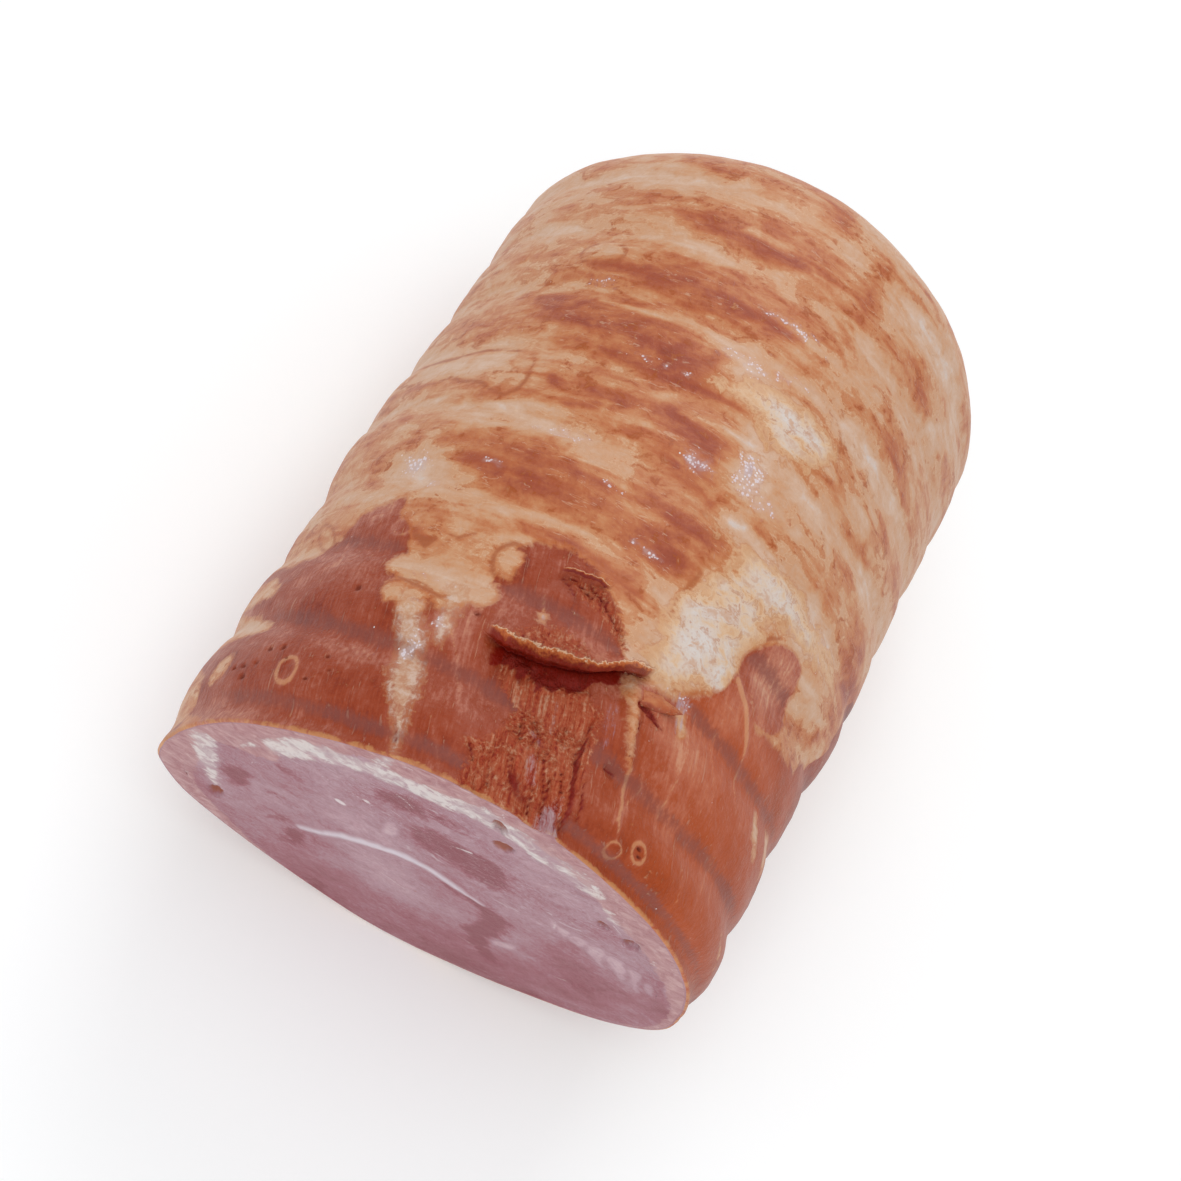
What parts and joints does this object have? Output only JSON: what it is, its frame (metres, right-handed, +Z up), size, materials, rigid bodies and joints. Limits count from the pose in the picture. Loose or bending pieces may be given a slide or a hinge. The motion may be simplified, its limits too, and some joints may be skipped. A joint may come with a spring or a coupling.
{
  "type": "stuffed rolled pork belly",
  "caption": "Netted and smoked roll of pork belly with a square cut end that shows outer lean, a band of fat and a pink filling; the far end is rounded.",
  "frame": {"origin": "middle of the roll's footprint, on the surface it lies on", "axes": "+Y along the roll from its cut end to its rounded end, +Z up, +X to the right seen from the cut end"},
  "size_m": [0.1494, 0.218, 0.1173],
  "materials": {
    "smoked_belly": "satin, moist smoked crust",
    "belly_fat": "satin, waxy cut fat",
    "pink_filling": "satin, moist cut meat"
  },
  "bodies": {
    "root": {"belly_wrap": "smoked_belly", "fat_layer": "belly_fat", "stuffing": "pink_filling"}
  },
  "joints": []
}
